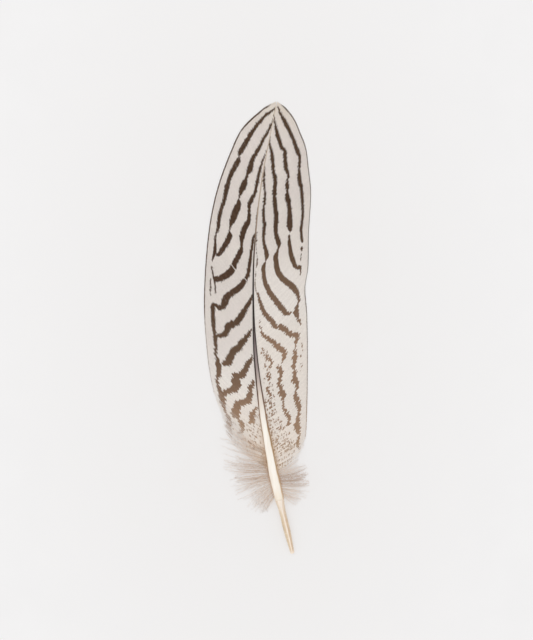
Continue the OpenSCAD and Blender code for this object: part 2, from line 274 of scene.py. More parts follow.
def vane_point(side, t, u):
    """Middle of a vane at share t along the shaft and u along the barb."""
    t, u = np.broadcast_arrays(np.asarray(t, float), np.asarray(u, float))
    root = root_point(side, FIRST_ROOT[side] + (LAST_ROOT - FIRST_ROOT[side]) * t)
    edge = EDGE[side]
    y = edge[0][0] + (DRAWN_TIP - edge[0][0]) * (1 - np.clip(1 - t, 0, 1) ** REACH_POWER)
    end = np.stack([STRETCH_X * smooth(edge, y), STRETCH_Y * y], -1)
    xy = bend(root[..., :2], end, u)
    return np.concatenate([xy, drop(root[..., 2], VANE_THICK / 2, u)[..., None]], -1)


def ramp(v, low, high):
    return np.clip((v - low) / (high - low), 0, 1)


def unit(v):
    return v / np.maximum(np.linalg.norm(v, axis=-1, keepdims=True), 1e-9)


# ---------------------------------------------------------------- meshes
def strands(name, rings, material, marks, nodes):
    """One piece of many closed strands. rings is (strand, ring, corner, xyz) in millimetres."""
    count, length, corners, _ = rings.shape
    base = (np.arange(count) * length * corners)[:, None, None]
    ring = (np.arange(length - 1) * corners)[None, :, None]
    corner = np.arange(corners)[None, None, :]
    following = (corner + 1) % corners
    a = base + ring + corner
    b = base + ring + following
    sides = np.stack([a, b, b + corners, a + corners], -1).reshape(-1, 4)
    first = base[:, 0] + np.arange(corners)[::-1]
    last = base[:, 0] + (length - 1) * corners + np.arange(corners)
    ends = np.concatenate([first, last])
    loops = np.concatenate([sides.reshape(-1), ends.reshape(-1)])
    sizes = np.concatenate([np.full(len(sides), 4), np.full(len(ends), corners)])
    starts = np.concatenate([[0], np.cumsum(sizes)[:-1]])
    mesh = bpy.data.meshes.new(name)
    mesh.vertices.add(count * length * corners)
    mesh.vertices.foreach_set("co", (rings * MM).reshape(-1))
    mesh.loops.add(len(loops))
    mesh.loops.foreach_set("vertex_index", loops.astype(np.int32))
    mesh.polygons.add(len(sizes))
    mesh.polygons.foreach_set("loop_start", starts.astype(np.int32))
    mesh.update(calc_edges=True)
    mesh.polygons.foreach_set("use_smooth", np.ones(len(sizes), bool))
    for mark, values in marks.items():
        layer = mesh.attributes.new(mark, "FLOAT", "POINT")
        values = np.broadcast_to(values, (count, length, corners))
        layer.data.foreach_set("value", values.reshape(-1).astype(np.float32))
    mesh.materials.append(material)
    mesh.validate()
    piece = bpy.data.objects.new(name, mesh)
    bpy.context.scene.collection.objects.link(piece)
    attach(piece, "root")
    if nodes:
        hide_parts(*nodes)
    return piece


# ---------------------------------------------------------------- colour of the vanes
def brush(side):
    """The stripes' strokes, rounded into short pieces: (start, end) rows of (x, y, half width)."""
    rows = []
    for stripe in STRIPES[side]:
        points = np.array(stripe, float)
        places = np.arange(len(points))
        fine = np.linspace(0, len(points) - 1, 5 * (len(points) - 1) + 1)
        curve = np.stack([smooth(list(zip(places, points[:, k])), fine) for k in range(3)], -1)
        lower = ramp(curve[:, 1], 40, 12) * ramp(curve[:, 2], 0.3, 0.7)
        curve[:, 2] += STRIPE_SPREAD + LOWER_SPREAD[side] * lower
        curve[:, 0] *= STRETCH_X
        curve[:, 1] *= STRETCH_Y
        rows.append(np.stack([curve[:-1], curve[1:]], 1))
    return np.concatenate(rows)


def stripe_depth(strokes, x, y):
    """How far inside the nearest stripe a point is, in mm; negative outside."""
    depth = np.full(x.shape, -5.0)
    for a, b in strokes:
        near = (np.abs(x - (a[0] + b[0]) / 2) < 4) & (np.abs(y - (a[1] + b[1]) / 2) < 4)
        if not near.any():
            continue
        px, py = x[near], y[near]
        dx, dy = b[0] - a[0], b[1] - a[1]
        s = np.clip(((px - a[0]) * dx + (py - a[1]) * dy) / (dx * dx + dy * dy + 1e-9), 0, 1)
        away = np.hypot(px - a[0] - s * dx, py - a[1] - s * dy)
        depth[near] = np.maximum(depth[near], a[2] + s * (b[2] - a[2]) - away)
    return depth


def speckle(side, x, y):
    """Share of the fine brown flecks at a point of the lower vane."""
    away = np.abs(x - STRETCH_X * smooth(SHAFT_LINE, y / STRETCH_Y))
    if side > 0:
        start = -24 - 1.7 * away
        lower = ramp(y, start, start - 4.5)
        beside_shaft = 0.5 * ramp(np.abs(away - 3.9), 2.1, 1.3) * ramp(y, -8, -11)
        return np.maximum(lower, beside_shaft) * ramp(x, 16.5, 14)
    start = -30 - 0.45 * away
    return 0.72 * ramp(y, start, start - 5) * ramp(x, -11, -8) * ramp(y, -52, -42)


# Dashes drawn for each barb, and how often each barb of a row bears one
DASHES = 120
FLECK_ROWS = (1.0, 0.95, 0.3, 0.1)
# Gaps between dashes and the dashes themselves, in mm: (least length, mean extra length)
GAP = (0.22, 0.22)
DASH = (0.6, 0.35)


def flecks(share, travel):
    """Short dashes of brown along the barbs, in rows some barbs apart, as often as share says."""
    fleck = np.zeros_like(travel)
    first = 0
    while first < len(travel):
        gaps = random.exponential(GAP[1], DASHES) + GAP[0]
        dashes = random.exponential(DASH[1], DASHES) + DASH[0]
        ends = np.cumsum(np.stack([gaps, dashes], -1).reshape(-1))
        strength = np.repeat(random.uniform(0, 1, DASHES), 2)
        following = first + random.integers(3, 5)
        for row in range(first, min(following, len(travel))):
            place = np.searchsorted(ends, travel[row] + random.normal(0, 0.2))
            place = np.minimum(place, 2 * DASHES - 1)
            lit = (place % 2 == 1) & (strength[place] < share[row] * FLECK_ROWS[row - first])
            fleck[row] = lit * (0.45 + 0.55 * random.random(2 * DASHES)[place])
        first = following
    return fleck


def clumps(count):
    """A random offset for each barb, shared by the two to five barbs that cling together."""
    runs = random.integers(2, 6, count)
    return np.repeat(random.normal(0, 1, count), runs)[:count, None]


def pigment(side, paths):
    """Brown at each point of each barb, stepped from barb to barb, and the rim's part of it: 0 to 1."""
    count = len(paths)
    steps = np.linalg.norm(np.gradient(paths, axis=1), axis=-1)
    travel = np.cumsum(steps, axis=1)
    way = unit(np.gradient(paths, axis=1))
    y = paths[:, :1, 1]
    rough = 0.13 + 0.2 * ramp(y, 5, -30)
    if side > 0:
        rough = rough + 0.12 * ramp(y, 0, -22)
    shift = (0.8 * clumps(count) + 0.6 * random.normal(0, 1, (count, 1))) * rough
    x = paths[..., 0] + way[..., 0] * shift
    y = paths[..., 1] + way[..., 1] * shift
    teeth = np.repeat(np.tile([1, -1], count), random.integers(1, 3, 2 * count))[:count, None]
    comb = teeth * (0.05 + 0.12 * ramp(y, 25, -8) + 0.09 * ramp(y, 25, 50))
    depth = stripe_depth(brush(side), x, y) + comb + random.normal(0, 0.06, (count, 1))
    brown = ramp(depth, -0.1, 0.12)
    for slit_x, slit_y in SLITS[side]:
        away = np.hypot(paths[..., 0] - slit_x, paths[..., 1] - slit_y)
        pale = away.min(1).argmin()
        if away[pale].min() < 0.25:
            brown[pale] *= ramp(away[pale], 2.6, 3.2)
    fleck = flecks(speckle(side, paths[..., 0], paths[..., 1]), travel)
    left = travel[:, -1:] - travel
    edge_y = paths[:, -1:, 1]
    lowest = MARGIN_END[side]
    margin = ramp(left, MARGIN_WIDE[side], MARGIN_WIDE[side] - 0.22) * ramp(edge_y, lowest, lowest + 12)
    margin = margin * ramp(edge_y, DRAWN_TIP, DRAWN_TIP - 2)
    strength = ramp(edge_y, 0, 12) + LOWER_MARGIN[side] * ramp(edge_y, 12, 0)
    margin = margin * strength * random.uniform(0.75, 1, (count, 1))
    return np.maximum(np.maximum(brown, 0.85 * fleck), margin), margin


# ---------------------------------------------------------------- vanes
BARBS_IN_GROUP = 34
# Length of one step along a barb, and the fewest steps that a barb has
BARB_STEP = 0.33
FEWEST_STEPS = 24
# Lowest height of any strand over the floor
CLEAR = 0.01
# Along each loose barb, the stretch that bears fine hairs, and their number and greatest length
FRINGE_SPAN = (0.45, 1.0)
FRINGE_HAIRS = 10
FRINGE_LENGTH = 1.5


def barb_group(side, number, material, down_look):
    """A group of barbs: each is a closed strand with a ridge above and a keel below."""
    low, high = (number - 1) / GROUPS, number / GROUPS
    pitch = (high - low) / BARBS_IN_GROUP
    t = low + (np.arange(BARBS_IN_GROUP)[:, None] + 0.5) * pitch
    middle = vane_point(side, t[len(t) // 2], np.linspace(0, 1, 20))
    length = np.linalg.norm(np.diff(middle, axis=0), axis=1).sum()
    rings = int(max(FEWEST_STEPS, length / BARB_STEP))
    loose = ramp(t, LOOSE[side], 0.01)
    reach = 1 - random.uniform(0, 0.004, (len(t), 1)) - loose * random.uniform(0, 0.2, (len(t), 1))
    u = np.linspace(0, 1, rings)[None, :] * reach
    paths = vane_point(side, t, u)
    slim = np.minimum(1, 0.6 + (1 - u / reach) / 0.012) * (1 - 0.7 * loose * ramp(u, 0.15, 0.6))
    slim = slim * (1 - 0.45 * ramp(paths[..., 1], *LOOSE_ENDS[side]) * ramp(u, 0.78, 0.97))
    stray = random.normal(0, 1, (len(t), 1)) * (0.06 + 0.6 * loose) * u ** 2 * pitch
    lower = vane_point(side, np.clip(t + stray - 0.52 * pitch * slim, 0, 1), u)
    upper = vane_point(side, np.clip(t + stray + 0.52 * pitch * slim, 0, 1), u)
    centre = vane_point(side, np.clip(t + stray, 0, 1), u)
    ridge, keel = centre.copy(), centre.copy()
    lift = (0.04 + 0.15 * loose) * random.normal(0, 1, (len(t), 1)) * u
    ridge[..., 2] += 0.1 * slim + lift
    keel[..., 2] -= 0.11 * slim
    lower[..., 2] += lift
    upper[..., 2] += lift + 0.03
    corners = [lower, keel, upper, ridge] if side > 0 else [upper, keel, lower, ridge]
    rings_of = np.stack(corners, 2)
    rings_of[..., 2] = np.maximum(rings_of[..., 2], CLEAR)
    brown, margin = pigment(side, centre)
    y = paths[..., 1]
    fade = smooth(RIGHT_FADE, y) * (margin < 0.1) if side > 0 else 0
    marks = {
        "brown": brown[..., None],
        "place": share_along(y)[..., None],
        "shade": (share_along(y) - fade)[..., None],
        "strand": random.random((len(t), 1, 1)),
        "reach": np.broadcast_to(u, paths.shape[:2])[..., None],
    }
    node = f"{SIDE_NAME[side]}_barbs_{number}"
    strands(f"{SIDE_NAME[side]}_vane_{number}", rings_of, material, marks, [node])
    untied = np.flatnonzero(loose[:, 0] > 0.15)[:: 1 if side < 0 else 2]
    if len(untied):
        tint = brown[untied][:, [-8]] * 0.2
        name = f"{SIDE_NAME[side]}_fringe_{number}"
        fluff(name, centre[untied], FRINGE_SPAN, FRINGE_HAIRS, FRINGE_LENGTH, tint, down_look)


# ---------------------------------------------------------------- down
DOWN_BARBS = {-1: (24, 34, 25), 1: (23, 15)}
# Barbules on each side of a downy barb, their greatest length, and the stretch that bears them
BARBULES = 28
BARBULE_LENGTH = 2.5
BARBULE_SPAN = (0.03, 0.96)
BARBULE_STEPS = 5
BARBULE_R = [0.018, 0.017, 0.014, 0.011, 0.006]
# Rings along a downy barb, and its radius as (share along it, mm)
DOWN_RINGS = 24
DOWN_R = [(0, 0.14), (0.12, 0.06), (0.5, 0.055), (1, 0.03)]
# How brown the downy barbs are, from the vane to the bare quill: (share, tint)
DOWN_TINT = {
    -1: [(0, 0), (0.25, 0.0), (0.38, 0.22), (0.7, 0.15), (1, 0)],
    1: [(0, 0), (0.16, 0.05), (0.28, 1.0), (0.46, 0.9), (0.6, 0.05), (1, 0)],
}


def tube_rings(paths, radius, corners=3):
    """Rings of a thin tube round each path. radius is (path, ring) in millimetres."""
    way = unit(np.gradient(paths, axis=1))
    across = unit(np.cross(way, np.array([0.0, 0.0, 1.0])))
    up = np.cross(across, way)
    angles = math.pi / 2 - np.arange(corners) * 2 * math.pi / corners
    ring = across[:, :, None] * np.cos(angles)[None, None, :, None]
    ring = ring + up[:, :, None] * np.sin(angles)[None, None, :, None]
    return paths[:, :, None] + ring * radius[:, :, None, None]


def point_at(paths, share):
    """Places and directions at the given shares of each path."""
    place = np.clip(share, 0, 1) * (paths.shape[1] - 1)
    i = np.minimum(place.astype(int), paths.shape[1] - 2)
    row = np.arange(len(paths))[:, None]
    start, stop = paths[row, i], paths[row, i + 1]
    return start + (stop - start) * (place - i)[..., None], unit(stop - start)


def fluff(name, stems, span, count, longest, tint, material):
    """Fine barbules along both sides of loose barbs. tint is how brown each barb's are."""
    hairs, reach = [], []
    for hand in (-1, 1):
        share = np.linspace(*span, count)[None, :] + random.normal(0, 0.01, (len(stems), count))
        at, way = point_at(stems, share)
        out = np.stack([-way[..., 1], way[..., 0], np.zeros(share.shape)], -1) * hand
        tilt = random.uniform(-0.5, 0.3, share.shape)[..., None] * np.array([0, 0, 1.0])
        aim = unit(way * random.uniform(0.4, 1.6, share.shape)[..., None] + out + tilt)
        size = longest * random.uniform(0.3, 1, share.shape) * (1 - 0.65 * share ** 2)
        size = (size * (0.4 + 0.6 * ramp(share, 0, 0.3)))[..., None, None]
        s = np.linspace(0, 1, BARBULE_STEPS)[:, None]
        bow = way[..., None, :] * random.uniform(-0.1, 0.6, share.shape)[..., None, None] * s * s
        sway = out[..., None, :] * random.normal(0, 0.25, share.shape)[..., None, None] * s * s
        sag = np.array([0, 0, -0.25]) * s * s
        hairs.append(at[..., None, :] + (aim[..., None, :] * s + bow + sway + sag) * size)
        reach.append(share)
    hairs = np.concatenate(hairs).reshape(-1, BARBULE_STEPS, 3)
    hairs[..., 2] = np.maximum(hairs[..., 2], 0.04)
    radius = np.array(BARBULE_R)[None, :] * np.ones((len(hairs), 1))
    marks = {
        "reach": np.concatenate(reach).reshape(-1, 1, 1),
        "strand": random.random((len(hairs), 1, 1)),
        "brown": np.tile(np.broadcast_to(tint, (len(stems), count)), (2, 1)).reshape(-1, 1, 1),
    }
    strands(name, tube_rings(hairs, radius), material, marks, [])


def down_paths(side, shares, rings):
    """Middle lines of downy barbs that fan out from the shaft below the vane."""
    count = len(shares)
    u = np.linspace(0, 1, rings)[None, :]
    first, last = FIRST_DOWN[side], LAST_DOWN[side]
    root = root_point(side, first + (last - first) * shares)
    across, along = along_row(FAN[side], np.clip(shares + random.normal(0, 0.02, count), 0, 1))
    size = 1.06 - 0.42 * random.random((count, 1)) ** 1.3
    end = root[:, :2] + (np.stack([STRETCH_X * across, STRETCH_Y * along], -1) - root[:, :2]) * size
    xy = bend(root[:, None, :2], end[:, None], np.broadcast_to(u, (count, rings)))
    side_step = np.stack([-(end - root[:, :2])[:, 1], (end - root[:, :2])[:, 0]], -1) * 0.06
    curl = random.normal(0, 0.45, (count, 1)) * np.sin(math.pi * u)
    curl = curl + random.normal(0, 0.8, (count, 1)) * u ** 3
    ripple = np.sin(2 * math.pi * (u * random.uniform(3, 5, (count, 1)) + random.random((count, 1))))
    xy = xy + side_step[:, None] * (curl + 0.1 * ripple * ramp(u, 0, 0.2))[..., None]
    z = drop(root[:, None, 2], 0.3, u) + random.uniform(-0.1, 1.0, (count, 1)) * np.sin(math.pi * u ** 0.8)
    return np.concatenate([xy, np.maximum(z, 0.15)[..., None]], -1)


def down_group(side, number, material):
    """A tuft of loose downy barbs, each feathered with fine barbules."""
    total = DOWN_GROUPS[side]
    count = DOWN_BARBS[side][number - 1]
    shares = (number - 1 + (np.arange(count) + 0.25 + 0.5 * random.random(count)) / count) / total
    stems = down_paths(side, shares, DOWN_RINGS)
    u = np.linspace(0, 1, DOWN_RINGS)
    radius = np.interp(u, *zip(*DOWN_R))[None, :] * np.ones((len(stems), 1))
    tint = np.clip(smooth(DOWN_TINT[side], shares) + random.uniform(-0.12, 0.08, count), 0, 1)[:, None]
    marks = {
        "reach": u[None, :, None],
        "strand": random.random((len(stems), 1, 1)),
        "brown": np.clip(1.5 * tint[..., None] + 0.5 * (1 - 0.5 * u[None, :, None]), 0, 1),
    }
    node = f"{SIDE_NAME[side]}_down_{number}"
    strands(f"{SIDE_NAME[side]}_tuft_{number}", tube_rings(stems, radius), material, marks, [node])
    name = f"{SIDE_NAME[side]}_fluff_{number}"
    fluff(name, stems, BARBULE_SPAN, BARBULES, BARBULE_LENGTH, tint, material)


# ---------------------------------------------------------------- shaft and bare quill
SHAFT_SIDES = 28
SHAFT_RINGS = 220
QUILL_SIDES = 40
QUILL_STEP = 0.6
BARREL_R = 1.4
BORE_R = 1.1
END_HOLE_R = 0.25


def rachis(material):
    """The shaft's rind, smooth above, grooved below, with the barbs' roots along both sides."""
    y = np.append(SHAFT_START, np.linspace(SHAFT_START + 0.03, LAST_ROOT, SHAFT_RINGS - 1))
    points = shaft_point(y)
    way = unit(np.gradient(points, axis=0))
    across = unit(np.cross(way, np.array([0.0, 0.0, 1.0])))
    up = np.cross(across, way)
    angle = 2 * math.pi - np.arange(SHAFT_SIDES) * 2 * math.pi / SHAFT_SIDES
    half = half_width(y)[:, None]
    flat = 1 - 0.14 * ramp(y, SHAFT_START, -64)[:, None]
    groove = 0.3 * ramp(y, -66, -60)[:, None] * np.exp(-((angle - 1.5 * math.pi) / 0.28) ** 2)[None]
    ripple = 0.012 * np.sin(9 * angle)[None] * np.ones_like(half)
    r = half * (1 - groove + ripple)
    r[0] *= 0.97
    sections = np.stack([r * np.cos(angle), r * flat * np.sin(angle)], -1)
    marks = {"place": share_along(y)[None, :, None], "turn": np.cos(angle)[None, None, :]}
    rings = points[:, None] + across[:, None] * sections[..., :1] + up[:, None] * sections[..., 1:]
    strands("shaft", rings[None], material, marks, ["rachis_rind"])


def calamus(material):
    """The bare quill: a hollow barrel with a rounded blunt end and a small opening in it."""
    start, stop = shaft_point(-DRAWN_TIP), shaft_point(SHAFT_START)
    length = np.linalg.norm(stop - start)
    top = half_width(SHAFT_START)
    outer = [
        (END_HOLE_R, 1.2), (END_HOLE_R, 0.05), (0.35, 0), (END_R - 0.25, 0), (END_R - 0.12, 0.04),
        (END_R - 0.04, 0.14), (END_R, 0.32), (0.93, 2.1), (1.08, 4.3), (1.22, 6.5), (1.34, 8.2),
        (BARREL_R, 9.4), (BARREL_R, length - 5), (1.43, length - 4.2), (1.52, length - 2.8),
        (top - 0.05, length - 1), (top, length - 0.03), (top - 0.03, length),
    ]
    inner = [(top - 0.3, length), (BORE_R, length - 5), (BORE_R, 9.5), (END_HOLE_R, 1.2)]
    profile = []
    for (r0, z0), (r1, z1) in zip(outer + inner[:-1], outer[1:] + inner):
        steps = max(1, int(abs(z1 - z0) / QUILL_STEP))
        profile += [(r0 + (r1 - r0) * k / steps, z0 + (z1 - z0) * k / steps) for k in range(steps)]
    profile = np.array(profile)
    way = (stop - start) / length
    across = unit(np.cross(way, np.array([0.0, 0.0, 1.0])))
    up = np.cross(across, way)
    angle = np.arange(QUILL_SIDES) * 2 * math.pi / QUILL_SIDES
    spokes = across * np.cos(angle)[:, None] + up * np.sin(angle)[:, None]
    r, z = profile[:, :1], profile[:, 1:]
    ring = start + way * z[..., None] + spokes[None] * r[..., None]
    ring = np.concatenate([ring, ring[:1]])
    along = np.append(profile[:, 1], profile[0, 1]) / length
    marks = {"place": along[None, :, None], "turn": np.cos(angle)[None, None, :]}
    piece = strands("bare_quill", ring[None], material, marks, ["calamus"])
    close_ring(piece)


def close_ring(piece):
    """Welds a tube whose last ring lies on its first, and drops the two end caps between them."""
    mesh = piece.data
    b = bmesh.new()
    b.from_mesh(mesh)
    caps = [f for f in b.faces if len(f.verts) > 4]
    bmesh.ops.delete(b, geom=caps, context="FACES_ONLY")
    bmesh.ops.remove_doubles(b, verts=b.verts, dist=1e-7)
    bmesh.ops.recalc_face_normals(b, faces=b.faces)
    b.to_mesh(mesh)
    b.free()


# ---------------------------------------------------------------- materials
class Nodes:
    """A short way to write a material's nodes."""

    def __init__(self, name):
        self.material = bpy.data.materials.new(name)
        self.material.use_nodes = True
        self.tree = self.material.node_tree
        self.shader = self.tree.nodes["Principled BSDF"]

    def add(self, kind, **settings):
        node = self.tree.nodes.new(kind)
        for key, value in settings.items():
            setattr(node, key, value)
        return node

    def feed(self, socket, value):
        if isinstance(value, bpy.types.NodeSocket):
            self.tree.links.new(value, socket)
        elif isinstance(value, tuple) and len(value) == 3:
            socket.default_value = (*value, 1)
        else:
            socket.default_value = value

    def mark(self, name):
        return self.add("ShaderNodeAttribute", attribute_name=name).outputs["Fac"]

    def math(self, how, a, b=0.5, c=0.5):
        node = self.add("ShaderNodeMath", operation=how)
        for socket, value in zip(node.inputs, (a, b, c)):
            self.feed(socket, value)
        return node.outputs[0]

    def range(self, value, low, high, to_low=0.0, to_high=1.0):
        node = self.add("ShaderNodeMapRange")
        for socket, v in zip(node.inputs, (value, low, high, to_low, to_high)):
            self.feed(socket, v)
        return node.outputs[0]

    def mix(self, share, a, b, blend="MIX"):
        node = self.add("ShaderNodeMix", data_type="RGBA", blend_type=blend)
        self.feed(node.inputs["Factor"], share)
        self.feed(node.inputs[6], a)
        self.feed(node.inputs[7], b)
        return node.outputs[2]

    def noise(self, scale, detail=3.0, stretch=(1, 1, 1)):
        place = self.add("ShaderNodeTexCoord").outputs["Object"]
        moved = self.add("ShaderNodeMapping")
        self.feed(moved.inputs["Vector"], place)
        moved.inputs["Scale"].default_value = stretch
        node = self.add("ShaderNodeTexNoise")
        self.feed(node.inputs["Vector"], moved.outputs[0])
        node.inputs["Scale"].default_value = scale
        node.inputs["Detail"].default_value = detail
        return node.outputs["Fac"]

    def colours(self, value, stops):
        node = self.add("ShaderNodeValToRGB")
        ramp_points = node.color_ramp.elements
        while len(ramp_points) < len(stops):
            ramp_points.new(0.5)
        for point, (place, colour) in zip(ramp_points, stops):
            point.position = place
            point.color = (*colour, 1)
        self.feed(node.inputs[0], value)
        return node.outputs[0]

    def bump(self, height, strength, distance):
        node = self.add("ShaderNodeBump")
        node.inputs["Strength"].default_value = strength
        node.inputs["Distance"].default_value = distance * MM
        self.feed(node.inputs["Height"], height)
        self.feed(self.shader.inputs["Normal"], node.outputs[0])

    def finish(self, colour, roughness, **fixed):
        self.feed(self.shader.inputs["Base Color"], colour)
        self.feed(self.shader.inputs["Roughness"], roughness)
        for key, value in fixed.items():
            self.shader.inputs[key.replace("_", " ")].default_value = value
        return self.material


def rgb(red, green, blue):
    """A colour given as a screen shows it, 0 to 255, as the linear light that shaders take."""
    shares = [v / 255 for v in (red, green, blue)]
    return tuple(v / 12.92 if v < 0.04045 else ((v + 0.055) / 1.055) ** 2.4 for v in shares)


def vane_material():
    """Off-white barbs with brown pigment, fading and warming towards the down."""
    n = Nodes("barbs")
    place = n.mark("place")
    shade = n.mark("shade")
    strand = n.mark("strand")
    reach = n.mark("reach")
    white = n.colours(shade, [
        (0.25, rgb(255, 243, 231)), (0.38, rgb(252, 246, 240)), (0.48, rgb(241, 233, 227)),
        (0.62, rgb(235, 227, 221)), (0.93, rgb(238, 229, 223)), (1.0, rgb(238, 226, 212)),
    ])
    white = n.mix(n.range(n.noise(90, 2), 0.42, 0.7, 0, 0.5), white, rgb(247, 240, 232))
    white = n.mix(n.range(strand, 0, 1, 0, 0.3), white, rgb(226, 218, 211))
    tan = n.math("MULTIPLY", n.range(place, 0.3, 0.22), n.range(reach, 0.12, 0.03))
    white = n.mix(n.math("MULTIPLY", tan, 0.6), white, rgb(216, 186, 154))
    brown = n.colours(shade, [
        (0.2, rgb(214, 186, 158)), (0.256, rgb(203, 173, 144)), (0.311, rgb(180, 148, 122)),
        (0.367, rgb(146, 118, 97)), (0.444, rgb(110, 86, 66)), (0.528, rgb(91, 68, 51)),
        (0.6, rgb(80, 57, 42)), (0.7, rgb(71, 49, 34)), (1.0, rgb(80, 58, 40)),
    ])
    brown = n.mix(n.range(strand, 0, 1, 0, 0.22), brown, rgb(124, 94, 70))
    brown = n.mix(n.range(n.noise(1400, 3), 0.45, 0.7, 0, 0.25), brown, rgb(134, 104, 80))
    edge = n.range(n.noise(2600, 2), 0.3, 0.7, -0.15, 0.15)
    amount = n.range(n.math("ADD", n.mark("brown"), edge), 0.25, 0.75)
    colour = n.mix(amount, white, brown)
    fine = n.noise(5200, 2, (1, 0.35, 1))
    colour = n.mix(n.range(fine, 0.35, 0.65, 0.14, 0.0), colour, rgb(120, 108, 100), "MULTIPLY")
    n.bump(fine, 0.3, 0.05)
    rough = n.range(n.noise(700, 2), 0.3, 0.7, 0.55, 0.72)
    return n.finish(colour, rough, Sheen_Weight=0.05, Sheen_Roughness=0.4, Specular_IOR_Level=0.2)


def down_material():
    """Pale fluff, browner along its stems and close to the shaft."""
    n = Nodes("fluff")
    colour = n.colours(n.mark("reach"), [
        (0.0, rgb(204, 165, 124)), (0.08, rgb(226, 194, 160)), (0.2, rgb(250, 224, 198)),
        (0.5, rgb(255, 236, 219)), (1.0, rgb(255, 246, 238)),
    ])
    colour = n.mix(n.mark("brown"), colour, rgb(196, 154, 118))
    colour = n.mix(n.range(n.noise(160, 2), 0.45, 0.65, 0, 0.12), colour, rgb(240, 224, 208))
    colour = n.mix(n.range(n.mark("strand"), 0, 1, 0, 0.2), colour, rgb(247, 237, 228))
    n.bump(n.noise(6000, 2), 0.2, 0.01)
    rough = n.range(n.noise(1500, 1), 0.3, 0.7, 0.7, 0.85)
    return n.finish(
        colour, rough, Sheen_Weight=0.4, Sheen_Roughness=0.5, Specular_IOR_Level=0.2,
        Subsurface_Weight=0.4, Subsurface_Scale=0.0004, Subsurface_Radius=(1, 0.95, 0.9),
    )


def shaft_material():
    """Horn: cream and broad below, dark brown to grey in the middle, thin and tan at the top; its middle is
    lighter than its sides, partly real dark side lines and partly a painted highlight.
    """
    n = Nodes("shaft_horn")
    place = n.mark("place")
    core_with_highlight = n.colours(place, [
        (0.12, rgb(246, 234, 216)), (0.15, rgb(253, 246, 236)), (0.27, rgb(252, 246, 236)),
        (0.31, rgb(242, 234, 225)), (0.35, rgb(226, 214, 203)), (0.38, rgb(194, 180, 173)),
        (0.41, rgb(162, 150, 148)), (0.456, rgb(120, 106, 104)), (0.494, rgb(66, 54, 52)),
        (0.53, rgb(36, 26, 24)), (0.635, rgb(44, 31, 26)), (0.69, rgb(110, 88, 70)),
        (0.76, rgb(196, 178, 160)), (1.0, rgb(230, 217, 201)),
    ])
    rim = n.colours(place, [
        (0.12, rgb(224, 199, 168)), (0.16, rgb(204, 174, 138)), (0.24, rgb(176, 144, 106)),
        (0.3, rgb(154, 121, 92)), (0.35, rgb(100, 72, 55)), (0.4, rgb(62, 45, 37)),
        (0.46, rgb(38, 28, 25)), (0.6, rgb(36, 26, 22)), (0.68, rgb(92, 70, 54)),
        (0.76, rgb(166, 144, 123)), (1.0, rgb(206, 188, 170)),
    ])
    streak = n.noise(900, 4, (1, 0.04, 1))
    # Across the shaft the middle takes the core colour and the sides the rim colour: the dark lines where the
    # barbs join are real, while the lighter middle (bright white below, grey in the dark stretch) is partly a
    # painted highlight.
    turn = n.math("ABSOLUTE", n.math("ADD", n.mark("turn"), n.range(place, 0.3, 0.42, 0.1, -0.1)))
    turn = n.math("ADD", turn, n.range(streak, 0.3, 0.7, -0.1, 0.1))
    wide = n.range(place, 0.2, 0.46, 0.72, 0.34)
    colour = n.mix(n.range(turn, wide, n.math("ADD", wide, 0.16)), core_with_highlight, rim)
    colour = n.mix(n.range(streak, 0.45, 0.7, 0, 0.2), colour, rgb(214, 194, 162), "MULTIPLY")
    n.bump(streak, 0.25, 0.05)
    rough = n.range(streak, 0.3, 0.7, 0.34, 0.5)
    return n.finish(
        colour, rough, Coat_Weight=0.06, Coat_Roughness=0.3, Specular_IOR_Level=0.25,
        Subsurface_Weight=0.08, Subsurface_Scale=0.0004, Subsurface_Radius=(1, 0.9, 0.8),
    )


def quill_material():
    """Golden translucent horn with long streaks, a pale line along the middle that is partly pulp showing
    through and partly a painted highlight, and paler painted glow at both sides.
    """
    n = Nodes("quill_horn")
    place = n.mark("place")
    streak = n.noise(1100, 4, (1, 0.05, 1))
    turn = n.math("ADD", n.mark("turn"), n.range(streak, 0.3, 0.7, -0.12, 0.12))
    # Colour across the quill: the pale band round the middle is partly pulp showing through and partly a
    # painted highlight; the paler ends of the ramp at both sides are a painted glow of light through the
    # wall.
    colour = n.colours(n.range(turn, -1, 1), [
        (0.0, rgb(236, 226, 212)), (0.16, rgb(219, 196, 164)), (0.36, rgb(228, 205, 176)),
        (0.5, rgb(255, 240, 226)), (0.57, rgb(255, 238, 224)), (0.66, rgb(220, 194, 164)),
        (0.84, rgb(212, 184, 152)), (1.0, rgb(234, 220, 202)),
    ])
    # Paler middle at the quill's upper end: partly pith showing through, partly the painted highlight running
    # on towards the shaft.
    middle = n.range(n.math("ABSOLUTE", turn), 0.75, 0.45)
    upper = n.math("MULTIPLY", n.range(place, 0.66, 1.0), n.math("MULTIPLY_ADD", middle, 0.7, 0.3))
    pale = n.math("MAXIMUM", n.range(place, 0.1, 0.0, 0, 0.8), upper)
    colour = n.mix(pale, colour, rgb(255, 241, 228))
    waves = n.math("SINE", n.math("MULTIPLY", place, 69.0))
    caps = n.math("MULTIPLY", n.range(waves, 0.7, 1.0), n.range(n.noise(500, 2), 0.4, 0.6))
    colour = n.mix(n.math("MULTIPLY", caps, 0.3), colour, rgb(252, 236, 214))
    colour = n.mix(n.range(streak, 0.4, 0.7, 0, 0.25), colour, rgb(206, 180, 138), "MULTIPLY")
    n.bump(streak, 0.3, 0.04)
    rough = n.range(streak, 0.3, 0.7, 0.22, 0.36)
    return n.finish(
        colour, rough, Coat_Weight=0.35, Coat_Roughness=0.15,
        Subsurface_Weight=0.2, Subsurface_Scale=0.0008, Subsurface_Radius=(1, 0.85, 0.7),
    )


def pulp_material():
    """Dry papery skin, cream with fine fibres."""
    n = Nodes("dried_pulp")
    fibre = n.noise(1600, 4, (1, 1, 0.2))
    colour = n.mix(fibre, rgb(232, 220, 196), rgb(214, 196, 162))
    n.bump(fibre, 0.4, 0.05)
    return n.finish(colour, n.range(fibre, 0.3, 0.7, 0.6, 0.85), Sheen_Weight=0.1)


